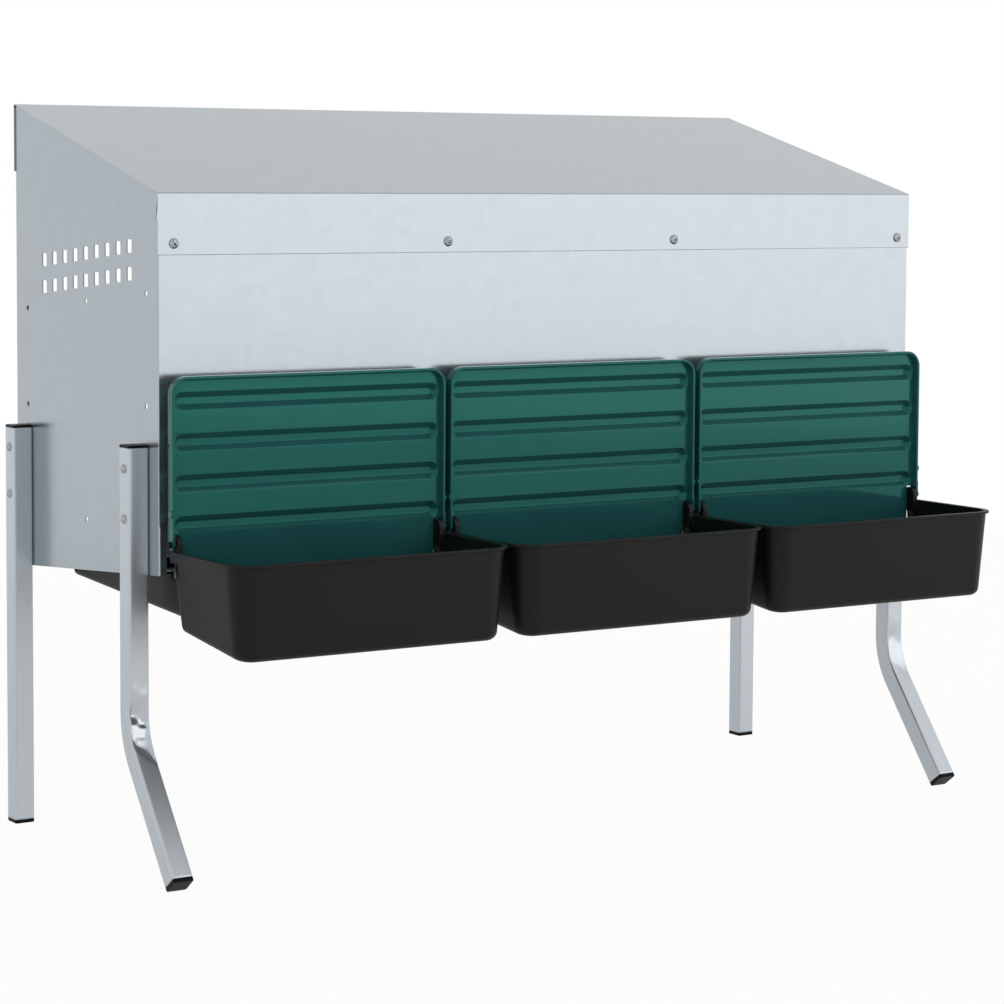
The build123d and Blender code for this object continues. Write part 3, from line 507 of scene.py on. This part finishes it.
# %% Crushed bend
CREASE_UP = 6.8 * MM
STEP_DEEP = 1.6 * MM
STEP_FADE = 9 * MM
POCKET_START = 0.6 * MM
POCKET_DEEP = 2.6 * MM
POCKET_SHORT = 8 * MM
POCKET_LONG = 23 * MM
POCKET_END = 9 * MM
BRIM = 0.7
WALL_FOLLOWS = 2 * MM
RUBBED_RUN = 30 * MM
RUBBED_LOW = 16 * MM
DENTS = (
    (-0.5, 9 * MM, 6.0 * MM, 3.6 * MM),
    (0.5, 3 * MM, 4.5 * MM, 1.6 * MM),
    (-0.65, 25 * MM, 3.0 * MM, -0.5 * MM),
    (0.4, 21 * MM, 3.4 * MM, -0.6 * MM),
    (0.3, -7 * MM, 2.6 * MM, 0.5 * MM),
    (-0.35, -11 * MM, 3.0 * MM, -0.7 * MM),
)
CRUSHED = {"left": 1.0, "right": 0.3}


def eased(value, start, end):
    """Smooth step from 0 at start to 1 at end."""
    t = max(0.0, min(1.0, (value - start) / (end - start)))
    return t * t * (3 - 2 * t)


def crush_depth(aside, rise, half):
    """How far the inner wall is pressed in, aside from -1 to 1 and at a rise above the crease."""
    if rise > 0:
        depth = STEP_DEEP * (aside + 1) / 2 * max(0.0, 1 - rise / STEP_FADE) ** 2
    else:
        end = POCKET_SHORT + (POCKET_LONG - POCKET_SHORT) * (aside + 1) / 2
        depth = POCKET_START + (POCKET_DEEP - POCKET_START) * min(1.0, -rise / end)
        depth *= 1 - eased(-rise, end, end + POCKET_END)
    for dent_aside, dent_rise, reach, deep in DENTS:
        away = ((aside - dent_aside) * half) ** 2 + (rise - dent_rise) ** 2
        depth += deep * exp(-away / reach**2)
    return depth


def crush(mesh, crease, inward, lift, half, share):
    """Press the inner wall of a bend in, with a crease across it at the point crease."""
    rubbed = mesh.attributes.new("rubbed", "FLOAT", "POINT")
    for vert in mesh.vertices:
        away = vert.co - crease
        aside = max(-1.0, min(1.0, away.x / half))
        rise = away.dot(lift)
        follow = max(0.0, min(1.0, 1 - away.dot(inward) / WALL_FOLLOWS))
        follow *= 1 - eased(abs(aside), BRIM, 1.0)
        follow *= share
        run = RUBBED_RUN if rise > 0 else RUBBED_LOW
        rubbed.data[vert.index].value = follow * (1 - eased(abs(rise), run / 2, run))
        vert.co += inward * (crush_depth(aside, rise, half) * follow)


# %% [markdown]
# The path of each leg is read from the frame: the box of a leg gives its centre, its top and how far
# the foot stands forward, and the bend angle is the one the legs were bent to. Solidify then gives
# the tube its wall.

# %% Legs
TUBE = 16 * MM
TUBE_WALL = 1.2 * MM
TUBE_ROUND = 1.8 * MM
BEND = radians(37.5)
BEND_R = 61 * MM
RING_STEP = 1.5 * MM


def leg_path(name, points):
    """Curve object with one open polyline."""
    line = bpy.data.curves.new(name, "CURVE")
    line.dimensions = "3D"
    spline = line.splines.new("POLY")
    spline.points.add(len(points) - 1)
    for point, place in zip(spline.points, points):
        point.co = (*place, 1.0)
    path_object = bpy.data.objects.new(name, line)
    scene.collection.objects.link(path_object)
    return path_object


for side in SIDES:
    for pair in ("front", "rear"):
        node = "leg_" + pair + "_" + side
        low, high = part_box(node)
        x = (low.x + high.x) / 2
        y = high.y - TUBE / 2
        points = [Vector((x, y, high.z)), Vector((x, y, low.z))]
        if pair == "front":
            foot = Vector((x, low.y + TUBE / 2 * cos(BEND), low.z + TUBE / 2 * sin(BEND)))
            kink = Vector((x, y, foot.z + (y - foot.y) / tan(BEND)))
            points = [points[0], kink, foot]
        sizes = {
            "Tube": TUBE,
            "Corner round": TUBE_ROUND,
            "Bend radius": BEND_R,
            "Ring step": RING_STEP,
            "Finish": TUBE_FINISH,
        }
        leg = grown(leg_path(node + "_path", points), leg_tree, sizes, "tube_" + node)
        if pair == "front":
            inward = Vector((0.0, cos(BEND / 2), -sin(BEND / 2)))
            lift = Vector((0.0, sin(BEND / 2), cos(BEND / 2)))
            set_in = BEND_R * (1 / cos(BEND / 2) - 1) + TUBE / 2
            crease = kink - inward * set_in + lift * CREASE_UP
            crush(leg.data, crease, inward, lift, TUBE / 2, CRUSHED[side])
        wall = leg.modifiers.new("wall", "SOLIDIFY")
        wall.thickness = TUBE_WALL
        wall.offset = -1.0
        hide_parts(node)
        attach(leg, "box")
        print(leg.name, len(leg.data.polygons), "faces")

# %% [markdown]
# Screws, bolts and rivets are turned shapes: a domed head, a shank, and for a rivet a swollen tail.
# A profile of radius and height is spun around the axis to one plain mesh.

# %% A turned shape
TURN_STEPS = 32
DOME_STEPS = 10
DOME_FLAT = 0.95
CRISP_DEG = 35


def turned(name, head_r, head_h, shank_r, grip, tail_r, tail_h):
    """Object with one fastener on the Z axis, its head standing on Z = 0."""
    turns = [pi / 2 * i / DOME_STEPS for i in range(DOME_STEPS + 1)]
    profile = [(head_r * sin(t) ** DOME_FLAT, head_h * max(cos(t), 0.0) ** DOME_FLAT) for t in turns]
    profile += [(shank_r, 0.0), (shank_r, -grip), (tail_r, -grip), (tail_r, -grip - tail_h)]
    profile.append((0.0, -grip - tail_h))
    form = bmesh.new()
    verts = [form.verts.new((r, 0.0, z)) for r, z in profile]
    edges = [form.edges.new(pair) for pair in zip(verts, verts[1:])]
    bmesh.ops.spin(
        form, geom=verts + edges, cent=(0, 0, 0), axis=(0, 0, 1), angle=2 * pi, steps=TURN_STEPS
    )
    bmesh.ops.remove_doubles(form, verts=form.verts, dist=WELD)
    bmesh.ops.recalc_face_normals(form, faces=form.faces)
    for face in form.faces:
        face.smooth = True
    for edge in form.edges:
        edge.smooth = edge.calc_face_angle(0.0) < radians(CRISP_DEG)
    mesh = bpy.data.meshes.new(name)
    form.to_mesh(mesh)
    form.free()
    shape = bpy.data.objects.new(name, mesh)
    scene.collection.objects.link(shape)
    return shape


# %% [markdown]
# Where fasteners go is a matter of points, so a Geometry Nodes tree sets them: it cuts a cross recess
# in the head where there is one, puts a copy on each point, aims it along the point's own outward
# direction and gives each its own random turn, as a driver leaves them.

# %% Fastener tree
set_tree, set_in = new_tree(
    "set_fasteners",
    {
        "Shape": "Object",
        "Cross recess": "Bool",
        "Head height": "Float",
        "Recess long": "Float",
        "Recess wide": "Float",
        "Recess deep": "Float",
        "Turn seed": "Int",
        "Finish": "Material",
    },
)
shape = put(set_tree, "GeometryNodeObjectInfo", {"Object": set_in["Shape"]}).outputs["Geometry"]
double = put(set_tree, "ShaderNodeMath", {0: set_in["Recess deep"], 1: 2.0}, operation="MULTIPLY")
top = put(set_tree, "ShaderNodeCombineXYZ", {"Z": set_in["Head height"]})
recessed = put(set_tree, "GeometryNodeMeshBoolean", {"Mesh 1": shape}, operation="DIFFERENCE")
for along_x, along_y in (("Recess long", "Recess wide"), ("Recess wide", "Recess long")):
    size = put(
        set_tree, "ShaderNodeCombineXYZ", {"X": set_in[along_x], "Y": set_in[along_y], "Z": double}
    )
    bar = put(set_tree, "GeometryNodeMeshCube", {"Size": size})
    lifted = put(set_tree, "GeometryNodeTransform", {"Geometry": bar, "Translation": top})
    set_tree.links.new(lifted.outputs["Geometry"], recessed.inputs["Mesh 2"])
head = put(
    set_tree,
    "GeometryNodeSwitch",
    {"Switch": set_in["Cross recess"], "False": shape, "True": recessed},
    input_type="GEOMETRY",
)
outward = put(
    set_tree, "GeometryNodeInputNamedAttribute", {"Name": "outward"}, data_type="FLOAT_VECTOR"
)
aimed = put(set_tree, "FunctionNodeAlignRotationToVector", {"Vector": outward}, axis="Z")
spin = put(
    set_tree,
    "FunctionNodeRandomValue",
    {"Min": 0.0, "Max": 2 * pi, "Seed": set_in["Turn seed"]},
    data_type="FLOAT",
)
own_turn = put(
    set_tree, "FunctionNodeAxisAngleToRotation", {"Axis": (0.0, 0.0, 1.0), "Angle": spin}
)
stance = put(
    set_tree,
    "FunctionNodeRotateRotation",
    {"Rotation": aimed, "Rotate By": own_turn},
    rotation_space="LOCAL",
)
placed = put(
    set_tree,
    "GeometryNodeInstanceOnPoints",
    {"Points": set_in["Geometry"], "Instance": head, "Rotation": stance},
)
real = put(set_tree, "GeometryNodeRealizeInstances", {"Geometry": placed})
plated = put(set_tree, "GeometryNodeSetMaterial", {"Geometry": real, "Material": set_in["Finish"]})
put(set_tree, "NodeGroupOutput", {"Geometry": plated})
print("fastener tree has", len(set_tree.nodes), "nodes")

# %% [markdown]
# Each fastener group is one CAD node with several separate solids. Welding a copy and walking over
# its edges finds the solids, and the box of each gives its centre, its head and its length.

# %% Measure the fasteners


def solids(node):
    """Lowest and highest corner of each separate solid in a CAD node."""
    form = bmesh.new()
    form.from_mesh(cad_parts[node].data)
    bmesh.ops.remove_doubles(form, verts=form.verts, dist=WELD)
    waiting = set(form.verts)
    found = []
    while waiting:
        group = set()
        frontier = [waiting.pop()]
        while frontier:
            vert = frontier.pop()
            group.add(vert)
            fresh = {edge.other_vert(vert) for edge in vert.link_edges} & waiting
            waiting -= fresh
            frontier.extend(fresh)
        corners = [vert.co for vert in group]
        found.append(
            (
                Vector([min(c[i] for c in corners) for i in range(3)]),
                Vector([max(c[i] for c in corners) for i in range(3)]),
            )
        )
    form.free()
    return sorted(found, key=lambda box: tuple(box[0]))


def fastened(node, name, axis, seat, shank_r, seed, tail_r=None, tail_h=0.0, recess=None):
    """Replace a CAD node's fasteners by turned ones, with their heads against the seat plane."""
    boxes = solids(node)
    low, high = boxes[0]
    head_r = (high.z - low.z) / 2
    ends = sorted((abs(low[axis]), abs(high[axis])))
    head_h = ends[1] - seat
    grip = seat - ends[0] - tail_h
    shape = turned(name + "_shape", head_r, head_h, shank_r, grip, tail_r or shank_r, tail_h)
    signs = [1.0 if abs(high[axis]) > abs(low[axis]) else -1.0 for low, high in boxes]
    points = [(low + high) / 2 for low, high in boxes]
    outwards = [Vector((0.0, 0.0, 0.0)) for box in boxes]
    for point, outward_of_point, sign in zip(points, outwards, signs):
        point[axis] = sign * seat
        outward_of_point[axis] = sign
    cloud = bpy.data.meshes.new(name + "_points")
    cloud.from_pydata(points, [], [])
    attribute = cloud.attributes.new("outward", "FLOAT_VECTOR", "POINT")
    attribute.data.foreach_set("vector", [c for v in outwards for c in v])
    carrier = bpy.data.objects.new(name + "_points", cloud)
    scene.collection.objects.link(carrier)
    sizes = {"Shape": shape, "Head height": head_h, "Turn seed": seed, "Finish": PLATED}
    if recess:
        sizes["Cross recess"] = True
        sizes.update(recess)
    piece = grown(carrier, set_tree, sizes, name)
    bpy.data.objects.remove(shape)
    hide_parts(node)
    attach(piece, "box")
    print(name, len(points), "pieces, heads of", round(2 * head_r / MM, 1), "mm")


# %% [markdown]
# The screws hold the roof's front flap and rear apron, the bolts hold the legs to the sides, and blind
# rivets hold the front panel and the sill. A head sits on the outer face of the sheet or tube that it
# clamps, so the seat planes are read from the boxes of those pieces.

# %% Screws, bolts and rivets
SCREW_R = 1.75 * MM
BOLT_R = 2.0 * MM
RIVET_R = 1.6 * MM
RIVET_TAIL_R = 2.5 * MM
RIVET_TAIL_H = 1.4 * MM
RECESS = {"Recess long": 3.6 * MM, "Recess wide": 0.9 * MM, "Recess deep": 1.2 * MM}
X_AXIS, Y_AXIS = 0, 1
roof_low, roof_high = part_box("roof")
for node, seat, seed in (
    ("roof_screws_front", -roof_low.y, 11),
    ("roof_screws_rear", roof_high.y, 12),
):
    fastened(node, "pan_head_" + node, Y_AXIS, seat, SCREW_R, seed, recess=RECESS)
fastened("leg_bolts", "domed_leg_bolts", X_AXIS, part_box("leg_front_right")[1].x, BOLT_R, 13)
for node, seat, seed in (
    ("front_panel_rivets", -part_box("front_panel")[0].y, 14),
    ("sill_rivets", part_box("side_panel_left")[1].y, 15),
):
    fastened(node, "domed_" + node, Y_AXIS, seat, RIVET_R, seed, RIVET_TAIL_R, RIVET_TAIL_H)

# %% [markdown]
# The picture is a plain studio: a pale floor, a white room and one large soft light in front and to
# the right, where the zinc front mirrors it. The room is white for what the camera and the mirrors
# see and a little dimmer as a lamp, so that colours come out about as they are written. Toward the
# ceiling it is a shade darker, and the roof, which mirrors that part, is greyer than the front.

# %% Room
ROOM_LIGHT = 0.75
CEILING = 0.85
CEILING_FROM, CEILING_TO = 0.1, 0.6


def looked_at(tree, ray):
    """One for a ray from the camera, a mirror or clear plastic, zero for a ray that only lights."""
    direct = put(
        tree,
        "ShaderNodeMath",
        {0: ray["Is Camera Ray"], 1: ray["Is Glossy Ray"]},
        operation="MAXIMUM",
    )
    return put(
        tree, "ShaderNodeMath", {0: direct, 1: ray["Is Transmission Ray"]}, operation="MAXIMUM"
    )


world = bpy.data.worlds.new("white_room")
scene.world = world
world.use_nodes = True
tree = world.node_tree
tree.nodes.clear()
seen = looked_at(tree, put(tree, "ShaderNodeLightPath").outputs)
strength = put(tree, "ShaderNodeMapRange", {"Value": seen, "To Min": ROOM_LIGHT, "To Max": 1.0})
view = put(tree, "ShaderNodeTexCoord").outputs["Generated"]
way = put(tree, "ShaderNodeSeparateXYZ", {"Vector": view})
ceiling = put(
    tree,
    "ShaderNodeMapRange",
    {
        "Value": way.outputs["Z"],
        "From Min": CEILING_FROM,
        "From Max": CEILING_TO,
        "To Min": 1.0,
        "To Max": CEILING,
    },
)
level = put(tree, "ShaderNodeMath", {0: strength, 1: ceiling}, operation="MULTIPLY")
room = put(tree, "ShaderNodeBackground", {"Color": linear("#FFFFFF"), "Strength": level})
put(tree, "ShaderNodeOutputWorld", {"Surface": room})
print("room lights at", ROOM_LIGHT)

# %% Soft light
LIGHT_PLACE = Vector((2.1, -3.0, 1.0))
LIGHT_TARGET = Vector((0.0, 0.0, 0.3))
LIGHT_SIZE = 3.4
LIGHT_WATTS = 32.0
lamp = bpy.data.lights.new("front_softbox", "AREA")
lamp.size = LIGHT_SIZE
lamp.energy = LIGHT_WATTS
lamp.color = linear("#FFF9F6")[:3]
stand = bpy.data.objects.new("front_softbox", lamp)
stand.location = LIGHT_PLACE
stand.rotation_euler = (LIGHT_TARGET - LIGHT_PLACE).to_track_quat("-Z", "Y").to_euler()
scene.collection.objects.link(stand)
print("softbox of", LIGHT_SIZE, "m at", LIGHT_WATTS, "W")

# %% [markdown]
# The floor is pale paint that takes the object's shadow. Far from the object it fades into the white
# of the room, and near it the camera sees a part of that white too, so the shadow stays light.

# %% Floor
FLOOR_HALF = 12.0
FLOOR_NEAR = 0.7
FLOOR_FAR = 2.2
FLOOR_GLOW = 0.95
MIRROR_GLOW = 0.62
floor_mesh = bpy.data.meshes.new("pale_floor")
floor_mesh.from_pydata(
    [(x * FLOOR_HALF, y * FLOOR_HALF, 0.0) for x, y in ((-1, -1), (1, -1), (1, 1), (-1, 1))],
    [],
    [(0, 1, 2, 3)],
)
floor = bpy.data.objects.new("pale_floor", floor_mesh)
scene.collection.objects.link(floor)
floor_finish = bpy.data.materials.new("pale_studio_floor")
floor_finish.use_nodes = True
tree = floor_finish.node_tree
tree.nodes.clear()
paint = put(tree, "ShaderNodeBsdfDiffuse", {"Color": linear("#E4E4E4")})
glow = put(tree, "ShaderNodeEmission", {"Color": linear("#FFFFFF"), "Strength": 1.0})
spot = put(tree, "ShaderNodeTexCoord").outputs["Object"]
distance = put(tree, "ShaderNodeVectorMath", {0: spot}, operation="LENGTH").outputs["Value"]
far = put(
    tree,
    "ShaderNodeMapRange",
    {"Value": distance, "From Min": FLOOR_NEAR, "From Max": FLOOR_FAR},
    interpolation_type="SMOOTHSTEP",
)
ray = put(tree, "ShaderNodeLightPath").outputs
near = put(
    tree,
    "ShaderNodeMapRange",
    {"Value": ray["Is Camera Ray"], "To Min": MIRROR_GLOW, "To Max": FLOOR_GLOW},
)
seen = looked_at(tree, ray)
white = put(tree, "ShaderNodeMath", {0: far, 1: near}, operation="MAXIMUM")
share = put(tree, "ShaderNodeMath", {0: white, 1: seen}, operation="MULTIPLY")
mixed = put(tree, "ShaderNodeMixShader", {"Fac": share, 1: paint, 2: glow})
put(tree, "ShaderNodeOutputMaterial", {"Surface": mixed})
floor_mesh.materials.append(floor_finish)
print("floor glows", FLOOR_GLOW, "near the object")

# %% [markdown]
# The camera stands to the left of the front at about the height of the roof, far enough away for a
# long lens. A small lens shift frames the object as in the photograph with little tilt of the camera.

# %% Camera
CAMERA_PLACE = (-1.2715, -1.9213, 0.4962)
CAMERA_YAW = radians(32.2614)
CAMERA_PITCH = radians(4.2734)
CAMERA_ROLL = radians(0.2636)
LENS_MM = 105.323
SHIFT = (0.05, -0.1)
ahead = Vector(
    (sin(CAMERA_YAW) * cos(CAMERA_PITCH), cos(CAMERA_YAW) * cos(CAMERA_PITCH), -sin(CAMERA_PITCH))
)
level_right = Vector((cos(CAMERA_YAW), -sin(CAMERA_YAW), 0.0))
level_up = level_right.cross(ahead)
right = cos(CAMERA_ROLL) * level_right + sin(CAMERA_ROLL) * level_up
up = cos(CAMERA_ROLL) * level_up - sin(CAMERA_ROLL) * level_right
lens = bpy.data.cameras.new("camera")
lens.lens = LENS_MM
lens.shift_x, lens.shift_y = SHIFT
camera = bpy.data.objects.new("camera", lens)
scene.collection.objects.link(camera)
camera.matrix_world = Matrix.Translation(CAMERA_PLACE) @ Matrix((right, up, -ahead)).transposed().to_4x4()
scene.camera = camera
scene.view_settings.view_transform = "Standard"
print("camera with a", LENS_MM, "mm lens")
